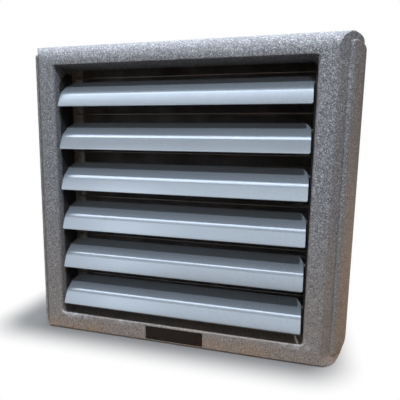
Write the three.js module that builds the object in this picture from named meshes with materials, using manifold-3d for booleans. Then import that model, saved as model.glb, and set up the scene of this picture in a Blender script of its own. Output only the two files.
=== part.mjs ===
// Water-fed fan heater with a moulded foam casing, six hand-set air louvres, a finned coil and an axial fan.
// Millimetres, +Z up. The louvred outlet faces -Y. Origin: bottom centre of the whole heater's box.
import * as THREE from 'three';
import { mergeVertices } from 'three/addons/utils/BufferGeometryUtils.js';
import Module from 'manifold-3d';

const wasm = await Module();
wasm.setup();

// ---------- driving dimensions ----------
const DEPTH = 345;            // front face to the back of the terminal box
const CASE_D = 300;           // foam casing depth
const CASE_H = 613;           // foam casing height
const SPLIT_Y = 150;          // joint between front and rear shell
const GAP = 0.3;              // clearance between touching pieces
const TOP_R = 36;             // bullnose along the top front edge
const BOT_R = 5;              // bottom front edge
// half outline of the casing seen from above: half width at each depth
const PLAN = [[290, 0], [292.7, 0.7], [295, 2.6], [298.4, 5.6], [310.6, 20], [321.5, 35.5], [330.5, 54], [337, 72], [343, 98], [346, 118], [347, 138]];
const OPEN_X = 260, OPEN_Z0 = 38.5, OPEN_Z1 = 569.5, OPEN_R = 10;   // air outlet
const REVEAL_Y = 66;          // depth of the outlet's foam edge
const CAV_X = 300, CAV_Z0 = 30.6, CAV_Z1 = 582.4;                    // hollow of both shells, the coil stands in it
const PANEL_T = 4.8;          // side panels stand this far off the shell
const PANEL_Y0 = 19.7, PANEL_Y1 = 284, PANEL_Z0 = 14, PANEL_Z1 = 599;

const PITCH = 85.8;           // louvre pitch
const PIVOT_Y = 38, PIVOT_TOP = 528.1;
const BLADE_X = 254.4;        // louvre half length
const SET_DEG = [-4, -1.5, 0, 0, 0, -5];   // how far each louvre was left turned, top to bottom
const LIP = [-33.5, -42.7], CREASE = [-19, -10.2], REAR = [12.5, 15.0];   // louvre section about its pivot, (Y, Z)
const SHEET = 2.4;            // louvre wall
const RAIL_X0 = 257.4, RAIL_X1 = 259.6;

const COIL_X0 = -250, COIL_X1 = 259, COIL_Z0 = 34, COIL_Z1 = 579, COIL_Y0 = 94, COIL_Y1 = 146;
const STAY_Z = [556.6, 478, 394.3, 290.6, 200, 104.2], STAY_Y = 87.4;

const FAN_Z = 306.5;          // fan axis height
const BORE_R = 208, FAN_R = 202, HUB_R = 62, FAN_Y = 268;

// ---------- helpers ----------
const root = new THREE.Group();
root.position.set(0, -DEPTH / 2, 0);

function clean(g) {
  g = g.index ? g.toNonIndexed() : g;
  for (const k of Object.keys(g.attributes)) if (k !== 'position') g.deleteAttribute(k);
  return mergeVertices(g, 1e-4);
}
function solid(g) {
  const c = clean(g);
  return new wasm.Manifold(new wasm.Mesh({
    numProp: 3,
    vertProperties: new Float32Array(c.attributes.position.array),
    triVerts: new Uint32Array(c.index.array),
  }));
}
function geo(m) {
  const mesh = m.getMesh();
  const g = new THREE.BufferGeometry();
  g.setAttribute('position', new THREE.BufferAttribute(new Float32Array(mesh.vertProperties), 3));
  g.setIndex(new THREE.BufferAttribute(new Uint32Array(mesh.triVerts), 1));
  return g;
}
function material(color, roughness, metalness = 0) {
  return new THREE.MeshStandardMaterial({ color, roughness, metalness, flatShading: true });
}
function add(name, g, mat, parent = root) {
  if (!(g instanceof THREE.BufferGeometry)) g = geo(g);
  else g = clean(g);
  g.computeVertexNormals();
  const mesh = new THREE.Mesh(g, mat);
  mesh.name = name;
  parent.add(mesh);
  return mesh;
}
// the profile lies in the plane named first, in that order, and is extruded along the last letter from a to b
function shapeOf(points, holes = []) {
  const s = new THREE.Shape(points.map((p) => new THREE.Vector2(p[0], p[1])));
  for (const h of holes) s.holes.push(new THREE.Path(h.map((p) => new THREE.Vector2(p[0], p[1]))));
  return s;
}
function xyAlongZ(points, a, b, holes) {
  return new THREE.ExtrudeGeometry(shapeOf(points, holes), { depth: b - a, bevelEnabled: false }).translate(0, 0, a);
}
function yzAlongX(points, a, b, holes) {
  const g = new THREE.ExtrudeGeometry(shapeOf(points, holes), { depth: b - a, bevelEnabled: false });
  const m = new THREE.Matrix4().makeBasis(new THREE.Vector3(0, 1, 0), new THREE.Vector3(0, 0, 1), new THREE.Vector3(1, 0, 0));
  return g.applyMatrix4(m).translate(a, 0, 0);
}
function xzAlongY(points, a, b, holes) {
  const g = new THREE.ExtrudeGeometry(shapeOf(points, holes), { depth: b - a, bevelEnabled: false });
  const m = new THREE.Matrix4().makeBasis(new THREE.Vector3(1, 0, 0), new THREE.Vector3(0, 0, 1), new THREE.Vector3(0, -1, 0));
  return g.applyMatrix4(m).translate(0, b, 0);
}
function box(x0, x1, y0, y1, z0, z1) {
  return new THREE.BoxGeometry(x1 - x0, y1 - y0, z1 - z0).translate((x0 + x1) / 2, (y0 + y1) / 2, (z0 + z1) / 2);
}
function arc(cx, cy, r, a0, a1, n) {
  const out = [];
  for (let i = 0; i <= n; i++) {
    const a = THREE.MathUtils.degToRad(a0 + (a1 - a0) * i / n);
    out.push([cx + r * Math.cos(a), cy + r * Math.sin(a)]);
  }
  return out;
}
function roundRect(x0, x1, y0, y1, r, n = 4) {
  return [...arc(x1 - r, y0 + r, r, -90, 0, n), ...arc(x1 - r, y1 - r, r, 0, 90, n), ...arc(x0 + r, y1 - r, r, 90, 180, n), ...arc(x0 + r, y0 + r, r, 180, 270, n)];
}
// a round bar along Y, X or Z
function barY(r, y0, y1, x, z, n = 12) { return new THREE.CylinderGeometry(r, r, y1 - y0, n).translate(x, (y0 + y1) / 2, z); }
function barX(r, x0, x1, y, z, n = 12) { return new THREE.CylinderGeometry(r, r, x1 - x0, n).rotateZ(-Math.PI / 2).translate((x0 + x1) / 2, y, z); }
function barZ(r, z0, z1, x, y, n = 12) { return new THREE.CylinderGeometry(r, r, z1 - z0, n).rotateX(Math.PI / 2).translate(x, y, (z0 + z1) / 2); }
// a turned piece about the line along Y through (x, z); points are [radius, y]
function turned(points, n, x = 0, z = 0) {
  return new THREE.LatheGeometry(points.map((p) => new THREE.Vector2(p[0], p[1])), n).translate(x, 0, z);
}
// a round wire along points
function wire(points, r, n, steps, closed = false) {
  const curve = new THREE.CatmullRomCurve3(points.map((p) => new THREE.Vector3(...p)), closed, 'centripetal');
  return new THREE.ExtrudeGeometry(shapeOf(arc(0, 0, r, 0, 360 - 360 / n, n - 1)), { steps, extrudePath: curve, bevelEnabled: false });
}

// ---------- materials ----------
const foam = () => material(0x6f7276, 0.85);
const silver = () => material(0xb4c0cc, 0.3, 0.35);
const black = () => material(0x151618, 0.6);
const zinc = () => material(0xb9bcbe, 0.4, 0.8);
const copper = () => material(0xb36b42, 0.4, 0.9);
const brass = () => material(0xb59a4c, 0.4, 0.9);
const plastic = () => material(0x33363a, 0.55);
const steel = () => material(0x9a9da0, 0.35, 0.9);

// ---------- foam casing ----------
const half = [...PLAN, [347, CASE_D - 28], ...arc(347 - 28, CASE_D - 28, 28, 0, 90, 4).slice(1)];
const plan = [...half, ...half.slice().reverse().map(([x, y]) => [-x, y])];
const side = [...arc(BOT_R, BOT_R, BOT_R, 180, 270, 3), ...arc(CASE_D - 10, 10, 10, -90, 0, 3),
  ...arc(CASE_D - 25, CASE_H - 25, 25, 0, 90, 4), ...arc(TOP_R, CASE_H - TOP_R, TOP_R, 90, 180, 8)];
const block = solid(xyAlongZ(plan, 0, CASE_H)).intersect(solid(yzAlongX(side, -360, 360)));

const insertAt = [[-240, 78], [240, 78], [-240, 228], [240, 228]];
let insertCuts = null;
for (const [x, y] of insertAt) {
  const cut = solid(box(x - 32 - GAP, x + 32 + GAP, y - 18 - GAP, y + 18 + GAP, CASE_H - 4 - GAP, CASE_H + 5))
    .add(solid(barZ(7.5 + GAP, CASE_H - 17 - GAP, CASE_H, x, y, 10)));
  insertCuts = insertCuts ? insertCuts.add(cut) : cut;
}
const BADGE = [-59.7, 63.3, 5.2, 33.8];
const front = block.subtract(solid(box(-400, 400, SPLIT_Y, 400, -10, 700)))
  .subtract(solid(xzAlongY(roundRect(-OPEN_X, OPEN_X, OPEN_Z0, OPEN_Z1, OPEN_R, 3), -5, REVEAL_Y + 1)))
  .subtract(solid(xzAlongY(roundRect(-CAV_X, CAV_X, CAV_Z0, CAV_Z1, 16, 3), REVEAL_Y, SPLIT_Y + 5)))
  .subtract(solid(box(BADGE[0] - GAP, BADGE[1] + GAP, -5, 1.6, BADGE[2] - GAP, BADGE[3] + GAP)))
  .subtract(insertCuts);
add('front_shell', front, foam());

// rear shell: round fan inlet with a flared mouth, two holes for the water stubs
const STUB_X = -287, STUB_Z = [128, 486];
const mouth = turned([[0, 250], [BORE_R, 250], [BORE_R, 276], [BORE_R + 2.5, 286], [BORE_R + 8, 294], [BORE_R + 18, 299.4], [BORE_R + 18, 310], [0, 310]], 48, 0, FAN_Z);
let rear = block.subtract(solid(box(-400, 400, -10, SPLIT_Y + GAP, -10, 700)))
  .subtract(solid(xzAlongY(roundRect(-CAV_X, CAV_X, CAV_Z0, CAV_Z1, 16, 3), SPLIT_Y - 5, 262)))
  .subtract(solid(mouth))
  .subtract(insertCuts);
for (const z of STUB_Z) rear = rear.subtract(solid(barY(15, 250, 310, STUB_X, z, 14)));
add('rear_shell', rear, foam());

// side panels: raised foam cheeks that cover the joint between the shells
function offsetCurve(pts, d) {
  return pts.map((p, i) => {
    const a = pts[Math.max(0, i - 1)], b = pts[Math.min(pts.length - 1, i + 1)];
    const t = new THREE.Vector2(b[0] - a[0], b[1] - a[1]).normalize();
    return [p[0] + t.y * d, p[1] - t.x * d];
  });
}
const under = [[310.6, 20], [321.5, 35.5], [330.5, 54], [337, 72], [343, 98], [346, 118], [347, 138], [347, PANEL_Y1]];
const inner = offsetCurve(under, GAP + 0.05);
const outer = offsetCurve(under, PANEL_T);
outer[0] = [outer[0][0] - 2.2, outer[0][1] - 1.6];
const panelPlan = [...inner.slice().reverse(), [inner[0][0] + 1.4, inner[0][1] - 1.1], outer[0],
  [outer[1][0] - 8.2, outer[1][1] - 11.8], ...outer.slice(1, -1), [outer.at(-1)[0], PANEL_Y1 - 3.5], [outer.at(-1)[0] - 2.4, PANEL_Y1]];
const panelSide = [...arc(PANEL_Y0 - 8 + 26, PANEL_Z1 - 26, 26, 180, 90, 5), ...arc(PANEL_Y1 - 14 + 4, PANEL_Z1 - 14, 14, 90, 0, 4),
  ...arc(PANEL_Y1 - 14 + 4, PANEL_Z0 + 12, 12, 0, -90, 4), ...arc(PANEL_Y0 - 8 + 14, PANEL_Z0 + 14, 14, 270, 180, 4)].reverse();
const panelR = solid(xyAlongZ(panelPlan.slice().reverse(), 0, CASE_H)).intersect(solid(yzAlongX(panelSide, 300, 360)));
add('side_panel_right', panelR, foam());
add('side_panel_left', panelR.mirror([1, 0, 0]), foam());

// blank badge plate, recessed in the bottom rail
add('badge_plate', xzAlongY(roundRect(BADGE[0], BADGE[1], BADGE[2], BADGE[3], 1.5, 2), 0.2, 1.3), material(0x1f1b1a, 0.35));

// steel suspension inserts, flush with the top of the casing, each with a hole for a hanging rod
insertAt.forEach(([x, y], i) => {
  const plate = solid(box(x - 32, x + 32, y - 18, y + 18, CASE_H - 4, CASE_H))
    .add(solid(barZ(7.5, CASE_H - 17, CASE_H - 3, x, y, 10)))
    .subtract(solid(barZ(4, CASE_H - 30, CASE_H + 5, x, y, 10)));
  add(`suspension_insert_${i + 1}`, plate, zinc());
});

// ---------- louvres ----------
function bladeSection() {
  const L = new THREE.Vector2(...LIP), C = new THREE.Vector2(...CREASE), R = new THREE.Vector2(...REAR);
  const d1 = C.clone().sub(L).normalize(), d2 = R.clone().sub(C).normalize();
  const n1 = new THREE.Vector2(d1.y, -d1.x), n2 = new THREE.Vector2(d2.y, -d2.x);   // towards the under side
  const out = [];
  const rLip = SHEET / 2;
  const lc = L.clone().addScaledVector(n1, rLip);
  // outer skin from the lip up over the crease to the rear edge
  out.push([L.x + n1.x * 0.5 - d1.x * 0.4, L.y + n1.y * 0.5 - d1.y * 0.4]);
  out.push([L.x + d1.x * 0.5, L.y + d1.y * 0.5]);
  const f = 3.2;
  const a = C.clone().addScaledVector(d1, -f), b = C.clone().addScaledVector(d2, f);
  for (const t of [0, 0.33, 0.67, 1]) {
    const p = a.clone().multiplyScalar((1 - t) ** 2).addScaledVector(C, 2 * t * (1 - t)).addScaledVector(b, t * t);
    out.push([p.x, p.y]);
  }
  out.push([R.x - d2.x * 0.5, R.y - d2.y * 0.5]);
  out.push([R.x + n2.x * 0.6, R.y + n2.y * 0.6]);
  out.push([R.x + n2.x * SHEET, R.y + n2.y * SHEET]);
  // round channel for the pivot pins under the rear half
  const surf = C.clone().addScaledVector(d2, new THREE.Vector2(0, 0).sub(C).dot(d2)).addScaledVector(n2, SHEET);
  const along = 6.2;
  out.push([surf.x + d2.x * along, surf.y + d2.y * along]);
  const base = Math.atan2(n2.y, n2.x);
  for (const k of [62, 30, 0, -30, -62]) {
    const ang = base + THREE.MathUtils.degToRad(k);
    out.push([5.2 * Math.cos(ang), 5.2 * Math.sin(ang)]);
  }
  out.push([surf.x - d2.x * along, surf.y - d2.y * along]);
  // under side of the crease and of the front face
  const k = (new THREE.Vector2().addVectors(n1, n2)).normalize();
  const q = C.clone().addScaledVector(k, SHEET / k.dot(n1));
  out.push([q.x + d2.x * 1.2, q.y + d2.y * 1.2]);
  out.push([q.x - d1.x * 1.2, q.y - d1.y * 1.2]);
  out.push([L.x + n1.x * SHEET, L.y + n1.y * SHEET]);
  return out;
}
const section = bladeSection();
// louvre ends: rear corners cut off at a slant, lower corners rounded
function endCut(sign) {
  const d2 = new THREE.Vector2(REAR[0] - CREASE[0], REAR[1] - CREASE[1]).normalize();
  const n2 = new THREE.Vector2(d2.y, -d2.x);
  // slanted prism: corners in (X, along the upper face)
  const pts = [[BLADE_X + 0.01 + 4, 18.7 - 5.2], [BLADE_X - 12.5 - 4, 18.7 + 16.4 + 5.2], [BLADE_X + 30, 18.7 + 30]];
  const g = new THREE.ExtrudeGeometry(shapeOf(pts), { depth: 16, bevelEnabled: false }).translate(0, 0, -8);
  const m = new THREE.Matrix4().makeBasis(new THREE.Vector3(1, 0, 0), new THREE.Vector3(0, d2.x, d2.y), new THREE.Vector3(0, -d2.y, d2.x));
  g.applyMatrix4(m).translate(0, CREASE[0], CREASE[1]);
  const s = solid(g);
  return sign > 0 ? s : s.mirror([1, 0, 0]);
}
function lipCut(sign) {
  const d1 = new THREE.Vector2(CREASE[0] - LIP[0], CREASE[1] - LIP[1]).normalize();
  const pts = [[BLADE_X - 3.0, -2], [BLADE_X - 3.0, 0], [BLADE_X - 0.9, 0.9], [BLADE_X, 3.0], [BLADE_X + 3, 3.0], [BLADE_X + 3, -2]];
  const g = new THREE.ExtrudeGeometry(shapeOf(pts.reverse()), { depth: 16, bevelEnabled: false }).translate(0, 0, -8);
  const m = new THREE.Matrix4().makeBasis(new THREE.Vector3(1, 0, 0), new THREE.Vector3(0, d1.x, d1.y), new THREE.Vector3(0, -d1.y, d1.x));
  g.applyMatrix4(m).translate(0, LIP[0], LIP[1]);
  const s = solid(g);
  return sign > 0 ? s : s.mirror([1, 0, 0]);
}
const bladeSolid = solid(yzAlongX(section.slice().reverse(), -BLADE_X, BLADE_X))
  .subtract(endCut(1)).subtract(endCut(-1)).subtract(lipCut(1)).subtract(lipCut(-1));
const bladeGeo = geo(bladeSolid);
// end pin: a shoulder against the louvre and a stub that turns in the rail
const pinGeo = new THREE.LatheGeometry([[0, 0], [4.4, 0], [4.4, 1.9], [2.5, 1.9], [2.5, 4.7], [0, 4.7]].map((p) => new THREE.Vector2(...p)), 10).rotateZ(-Math.PI / 2);
SET_DEG.forEach((deg, i) => {
  const g = new THREE.Group();
  g.position.set(0, PIVOT_Y, PIVOT_TOP - i * PITCH);
  g.rotation.x = THREE.MathUtils.degToRad(deg);
  root.add(g);
  add(`louvre_${i + 1}`, bladeGeo.clone(), silver(), g);
  add(`louvre_${i + 1}_pin_right`, pinGeo.clone().translate(BLADE_X + GAP, 0, 0), zinc(), g);
  add(`louvre_${i + 1}_pin_left`, pinGeo.clone().rotateZ(Math.PI).translate(-BLADE_X - GAP, 0, 0), zinc(), g);
});

// louvre rails: black strips let into both sides of the outlet, with a hole for each pin
const railOutline = [[18, OPEN_Z0 + 16], [18, OPEN_Z1 - 34], [40, OPEN_Z1 - 11], [62, OPEN_Z1 - 11], [62, OPEN_Z0 + 11], [23, OPEN_Z0 + 11]];
const railHoles = SET_DEG.map((_, i) => arc(PIVOT_Y, PIVOT_TOP - i * PITCH, 2.9, 0, 324, 9));
add('louvre_rail_right', yzAlongX(railOutline.slice().reverse(), RAIL_X0, RAIL_X1, railHoles), black());
add('louvre_rail_left', yzAlongX(railOutline.slice().reverse(), -RAIL_X1, -RAIL_X0, railHoles), black());

// ---------- heat exchanger ----------
add('coil_fin_pack', box(COIL_X0, COIL_X1, COIL_Y0, COIL_Y1, COIL_Z0, COIL_Z1), black());
// end plates: flat sheet with flanges turned outwards front and back
function endPlate(x, s) {
  const w = 1.5, f = 25;
  const pts = [[0, 90], [f, 90], [f, 90 + w], [w, 90 + w], [w, 149.5 - w], [f, 149.5 - w], [f, 149.5], [0, 149.5]]
    .map(([a, b]) => [x + s * a, b]);
  return xyAlongZ(s > 0 ? pts : pts.reverse(), COIL_Z0 - 3, COIL_Z1 + 3);
}
add('coil_plate_left', endPlate(COIL_X0 - GAP, -1), zinc());
add('coil_plate_right', endPlate(COIL_X1 + GAP, 1), zinc());
STAY_Z.forEach((z, i) => add(`coil_stay_${i + 1}`, barX(1.2, COIL_X0 - 14, COIL_X1 + 14, STAY_Y, z, 8), zinc()));
// lower and upper header, each with its water stub out of the back
const HEAD_Y = 120;
add('supply_header', barZ(9.5, 62, 292, STUB_X, HEAD_Y, 12), copper());
add('return_header', barZ(9.5, 322, 552, STUB_X, HEAD_Y, 12), copper());
function stub(z) {
  return turned([[0, HEAD_Y + 9.5 + GAP], [9.5, HEAD_Y + 9.5 + GAP], [9.5, 306], [16.5, 306], [16.5, 316], [13, 316], [13, 334], [9.8, 334], [9.8, 322], [0, 322]], 14, STUB_X, z);
}
add('supply_stub', stub(STUB_Z[0]), brass());
add('return_stub', stub(STUB_Z[1]), brass());
add('air_vent_plug', turned([[0, 0], [7, 0], [7, 6], [4, 6], [4, 11], [0, 11]], 6).rotateX(Math.PI / 2).translate(STUB_X, HEAD_Y, 552 + GAP), brass());
add('drain_plug', turned([[0, 0], [7, 0], [7, 6], [4, 6], [4, 11], [0, 11]], 6).rotateX(-Math.PI / 2).translate(STUB_X, HEAD_Y, 62 - GAP), brass());
// return bends on the far side of the coil
[110, 220, 330, 440].forEach((z, i) => {
  const x = COIL_X1 + GAP + 1.5 + GAP;
  const g = wire([[x, 120, z], [x + 7, 120, z + 1], [x + 16, 120, z + 9], [x + 19, 120, z + 19], [x + 16, 120, z + 29], [x + 7, 120, z + 37], [x, 120, z + 38]], 5, 8, 10);
  const cut = solid(g).subtract(solid(box(x - 20, x, 100, 140, z - 20, z + 60)));
  add(`return_bend_${i + 1}`, cut, copper());
});

// ---------- fan ----------
// external-rotor motor: the stator sits on the guard, the rotor carries the blades
add('motor_stator', turned([[0, 303.3], [58, 303.3], [58, 316], [66, 316], [66, 320], [0, 320]], 24, 0, FAN_Z), plastic());
function fanBlade() {
  // flat strip along the radius, then twisted and swept
  const r0 = HUB_R - 6, r1 = FAN_R, t = 1.6;
  const pts = [[-40, -t], [0, -t - 0.6], [40, -t * 0.5], [40, t * 0.5], [0, t + 0.6], [-40, t]];
  const g = new THREE.ExtrudeGeometry(shapeOf(pts), { depth: r1 - r0, steps: 6, bevelEnabled: false });
  const p = g.attributes.position;
  for (let i = 0; i < p.count; i++) {
    const r = r0 + p.getZ(i), u = (r - r0) / (r1 - r0);
    const chord = 0.85 + 0.55 * u, pitch = THREE.MathUtils.degToRad(38 - 16 * u);
    const a = p.getX(i) * chord, b = p.getY(i) + 0.0022 * (p.getX(i) ** 2) * (1 - 0.4 * u);
    let along = a * Math.cos(pitch) - b * Math.sin(pitch), ax = a * Math.sin(pitch) + b * Math.cos(pitch);
    const ang = (along + 34 * u * u) / r, rr = Math.min(r, FAN_R);
    p.setXYZ(i, rr * Math.sin(ang), ax, rr * Math.cos(ang));
  }
  return g;
}
let rotor = solid(turned([[0, 244], [40, 244], [HUB_R - 8, 246], [HUB_R, 254], [HUB_R, 300], [0, 300]], 28));
for (let k = 0; k < 7; k++) rotor = rotor.add(solid(fanBlade().rotateY(k * 2 * Math.PI / 7).translate(0, FAN_Y, 0)));
const rotorGeo = geo(rotor).translate(0, 0, FAN_Z);
add('fan_rotor', rotorGeo, black());

// wire guard with the motor plate in the middle
const ringAt = [[104, 332.6], [136, 333.6], [168, 331.6], [196, 325.4], [222, 313.6]];
let guard = solid(turned([[30, 320 + GAP], [74, 320 + GAP], [74, 323.5], [30, 323.5], [30, 320 + GAP]], 24));
for (const [r, y] of ringAt) guard = guard.add(solid(turned([[r - 1.6, y], [r, y - 1.6], [r + 1.6, y], [r, y + 1.6], [r - 1.6, y]], 24)));
for (let k = 0; k < 8; k++) {
  const pts = [[0, 322, 66], [0, 325, 80], [0, 331.5, 94], [0, 333.2, 124], [0, 333.2, 150], [0, 330.2, 176], [0, 323.2, 202], [0, 312.5, 224], [0, 303, 234]];
  guard = guard.add(solid(wire(pts, 2.1, 4, 6).rotateY(k * Math.PI / 4 + Math.PI / 8)));
}
// screw tabs on four of the radial wires
for (let k = 0; k < 4; k++) {
  const tab = solid(box(-11, 11, 300 + GAP, 302.6, 228, 256)).subtract(solid(barY(2.9, 290, 310, 0, 247, 10)))
;
  guard = guard.add(solid(geo(tab).rotateY(k * Math.PI / 2 + Math.PI / 8)));
}
add('fan_guard', geo(guard).translate(0, 0, FAN_Z), material(0x202224, 0.5, 0.3));
for (let k = 0; k < 4; k++) {
  const a = k * Math.PI / 2 + Math.PI / 8;
  add(`guard_screw_${k + 1}`, turned([[0, 302.6 + GAP], [6, 302.6 + GAP], [6, 304.2], [3.8, 306], [0, 306]], 10)
    .translate(247 * Math.sin(a), 0, FAN_Z + 247 * Math.cos(a)), steel());
}

// ---------- electrical ----------
const TB = [206, 300, 52, 142];
const tbOuter = solid(xzAlongY(roundRect(TB[0], TB[1], TB[2], TB[3], 6, 3), CASE_D + GAP, 333))
  .subtract(solid(xzAlongY(roundRect(TB[0] + 3, TB[1] - 3, TB[2] + 3, TB[3] - 3, 4, 2), CASE_D + 3.5, 340)));
add('terminal_box', tbOuter, material(0x3b3f44, 0.5));
add('terminal_lid', xzAlongY(roundRect(TB[0] - 1, TB[1] + 1, TB[2] - 1, TB[3] + 1, 6, 3), 333 + GAP, DEPTH), material(0x3b3f44, 0.5));
add('cable_gland', turned([[0, 0], [10.5, 0], [10.5, 6], [8, 6], [8, 10], [9.6, 10], [9.6, 19], [7.5, 23], [5, 23], [5, 12], [0, 12]], 12)
  .rotateX(-Math.PI / 2).translate((TB[0] + TB[1]) / 2 + 14, 317, TB[2] - GAP), black());
// motor lead: leaves the stator's side, runs out under the guard and into the terminal box
const leadA = THREE.MathUtils.degToRad(128.5);
const lead = (r, y) => [r * Math.sin(leadA), y, FAN_Z + r * Math.cos(leadA)];
add('motor_lead', wire([lead(58.6, 310), lead(70, 310), lead(110, 309), lead(170, 307), lead(215, 305), lead(236, 304.5), lead(256, 304.8), [TB[0] - 3.4, 308, 138], [TB[0] - 0.6, 308, 138]], 2.4, 6, 24), black());

export default root;
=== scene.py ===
import bpy, bmesh, math
import numpy as np
from mathutils import Vector, Matrix


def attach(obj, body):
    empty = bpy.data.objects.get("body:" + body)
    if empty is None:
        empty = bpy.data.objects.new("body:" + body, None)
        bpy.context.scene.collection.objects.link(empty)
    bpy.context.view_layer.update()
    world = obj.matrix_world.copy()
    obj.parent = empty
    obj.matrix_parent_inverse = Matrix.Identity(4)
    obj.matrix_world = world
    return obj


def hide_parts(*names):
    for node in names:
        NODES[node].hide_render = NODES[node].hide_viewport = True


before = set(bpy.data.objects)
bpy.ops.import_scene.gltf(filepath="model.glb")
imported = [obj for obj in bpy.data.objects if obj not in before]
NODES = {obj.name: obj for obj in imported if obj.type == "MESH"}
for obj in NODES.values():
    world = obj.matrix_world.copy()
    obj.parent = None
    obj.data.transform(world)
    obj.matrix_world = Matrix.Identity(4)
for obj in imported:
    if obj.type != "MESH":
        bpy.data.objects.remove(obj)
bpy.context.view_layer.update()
sc = bpy.context.scene
sc.view_settings.view_transform = "Standard"
sc.view_settings.look = "None"
HALF = 172.5          # the sizes below are millimetres measured from the front plane; this brings them to the frame


# ---------------------------------------------------------------- mesh helpers
def P(v):
    return (v[0] / 1000, (v[1] - HALF) / 1000, v[2] / 1000)


def raw(name, verts, faces):
    me = bpy.data.meshes.new(name)
    me.from_pydata([P(v) for v in verts], [], faces)
    bm = bmesh.new(); bm.from_mesh(me)
    bmesh.ops.remove_doubles(bm, verts=bm.verts, dist=2e-6)
    bmesh.ops.dissolve_degenerate(bm, edges=bm.edges, dist=1e-6)
    bmesh.ops.recalc_face_normals(bm, faces=bm.faces)
    bm.to_mesh(me); bm.free()
    ob = bpy.data.objects.new(name, me)
    sc.collection.objects.link(ob)
    return ob


def bake(ob):
    dg = bpy.context.evaluated_depsgraph_get()
    me = bpy.data.meshes.new_from_object(ob.evaluated_get(dg))
    ob.modifiers.clear()
    old = ob.data; ob.data = me; me.name = ob.name
    bpy.data.meshes.remove(old)
    return ob


def cut(ob, *cutters):
    for c in cutters:
        m = ob.modifiers.new("cut", "BOOLEAN"); m.operation = "DIFFERENCE"; m.solver = "EXACT"; m.object = c
        bake(ob)
        bpy.data.objects.remove(c)
    return ob


def soften(ob, width, segments=2, angle=32):
    m = ob.modifiers.new("edge", "BEVEL"); m.width = width / 1000; m.segments = segments
    m.limit_method = "ANGLE"; m.angle_limit = math.radians(angle); m.use_clamp_overlap = True
    return bake(ob)


def join(name, obs):
    bm = bmesh.new()
    for o in obs:
        bm.from_mesh(o.data)
    me = bpy.data.meshes.new(name); bm.to_mesh(me); bm.free()
    for o in obs:
        bpy.data.objects.remove(o)
    ob = bpy.data.objects.new(name, me); sc.collection.objects.link(ob)
    return ob


def piece(ob, mat, body="casing", stands=(), sharp=34, weighted=True):
    me = ob.data
    me.materials.clear(); me.materials.append(mat)
    me.polygons.foreach_set("use_smooth", [True] * len(me.polygons))
    me.set_sharp_from_angle(angle=math.radians(sharp))
    if weighted:
        m = ob.modifiers.new("normals", "WEIGHTED_NORMAL"); m.keep_sharp = True
    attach(ob, body)
    if stands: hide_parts(*stands)
    return ob


def loft(rings, cap=True, closed=False):
    n, m = len(rings[0]), len(rings)
    verts = [p for r in rings for p in r]
    faces = []
    for i in range(m if closed else m - 1):
        j = (i + 1) % m
        for k in range(n):
            l = (k + 1) % n
            faces.append((i * n + k, i * n + l, j * n + l, j * n + k))
    if cap and not closed:
        faces += [tuple(range(n))[::-1], tuple((m - 1) * n + k for k in range(n))]
    return verts, faces


def turned(profile, n, x=0.0, z=0.0, closed=False):
    """Revolves (radius, y) about the line along Y through (x, z)."""
    k = len(profile)
    verts = [(x + r * math.sin(2 * math.pi * i / n), y, z + r * math.cos(2 * math.pi * i / n)) for i in range(n) for r, y in profile]
    faces = []
    for i in range(n):
        j = (i + 1) % n
        for a in range(k if closed else k - 1):
            b = (a + 1) % k
            faces.append((i * k + a, i * k + b, j * k + b, j * k + a))
    return verts, faces


def swap(verts, how, at=(0, 0, 0)):
    """Turns a shape made about the Y line through the origin so that its +Y points along how."""
    f = {"y": lambda v: (v[0], v[1], v[2]), "x": lambda v: (v[1], -v[0], v[2]), "-x": lambda v: (-v[1], v[0], v[2]),
         "z": lambda v: (v[0], -v[2], v[1]), "-z": lambda v: (v[0], v[2], -v[1])}[how]
    return [tuple(a + b for a, b in zip(f(v), at)) for v in verts]


def tube(path, r, n=12, closed=False):
    pts = [Vector(p) for p in path]
    m = len(pts)
    tang = []
    for i in range(m):
        a = pts[(i - 1) % m] if closed or i else pts[0]
        b = pts[(i + 1) % m] if closed or i < m - 1 else pts[-1]
        tang.append((b - a).normalized())
    up = Vector((0, 1, 0)) if abs(tang[0].y) < 0.9 else Vector((1, 0, 0))
    nrm = (up - tang[0] * up.dot(tang[0])).normalized()
    rings = []
    for i in range(m):
        nrm = (nrm - tang[i] * nrm.dot(tang[i])).normalized()
        bi = tang[i].cross(nrm)
        rr = r[i] if hasattr(r, "__len__") else r
        rings.append([tuple(pts[i] + nrm * (rr * math.cos(2 * math.pi * k / n)) + bi * (rr * math.sin(2 * math.pi * k / n))) for k in range(n)])
    return loft(rings, closed=closed)


def smooth_path(points, per=8):
    """Centripetal-like spline through the points."""
    p = [Vector(q) for q in points]
    p = [p[0] * 2 - p[1]] + p + [p[-1] * 2 - p[-2]]
    out = []
    for i in range(1, len(p) - 2):
        for k in range(per):
            t = k / per
            a, b, c, d = p[i - 1], p[i], p[i + 1], p[i + 2]
            out.append(tuple(0.5 * ((2 * b) + (c - a) * t + (2 * a - 5 * b + 4 * c - d) * t * t + (-a + 3 * b - 3 * c + d) * t ** 3)))
    out.append(tuple(p[-2]))
    return out


def arc2(cy, cz, r, a0, a1, n):
    return [(cy + r * math.cos(math.radians(a0 + (a1 - a0) * i / n)), cz + r * math.sin(math.radians(a0 + (a1 - a0) * i / n))) for i in range(n + 1)]


def rrect(x0, x1, z0, z1, r, n=8):
    return [*arc2(x1 - r, z0 + r, r, -90, 0, n), *arc2(x1 - r, z1 - r, r, 0, 90, n), *arc2(x0 + r, z1 - r, r, 90, 180, n), *arc2(x0 + r, z0 + r, r, 180, 270, n)]


def prismY(points, y0, y1):
    return loft([[(x, y0, z) for x, z in points], [(x, y1, z) for x, z in points]])


def prismX(points, x0, x1):
    return loft([[(x0, y, z) for y, z in points], [(x1, y, z) for y, z in points]])


def prismZ(points, z0, z1):
    return loft([[(x, y, z0) for x, y in points], [(x, y, z1) for x, y in points]])


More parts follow.
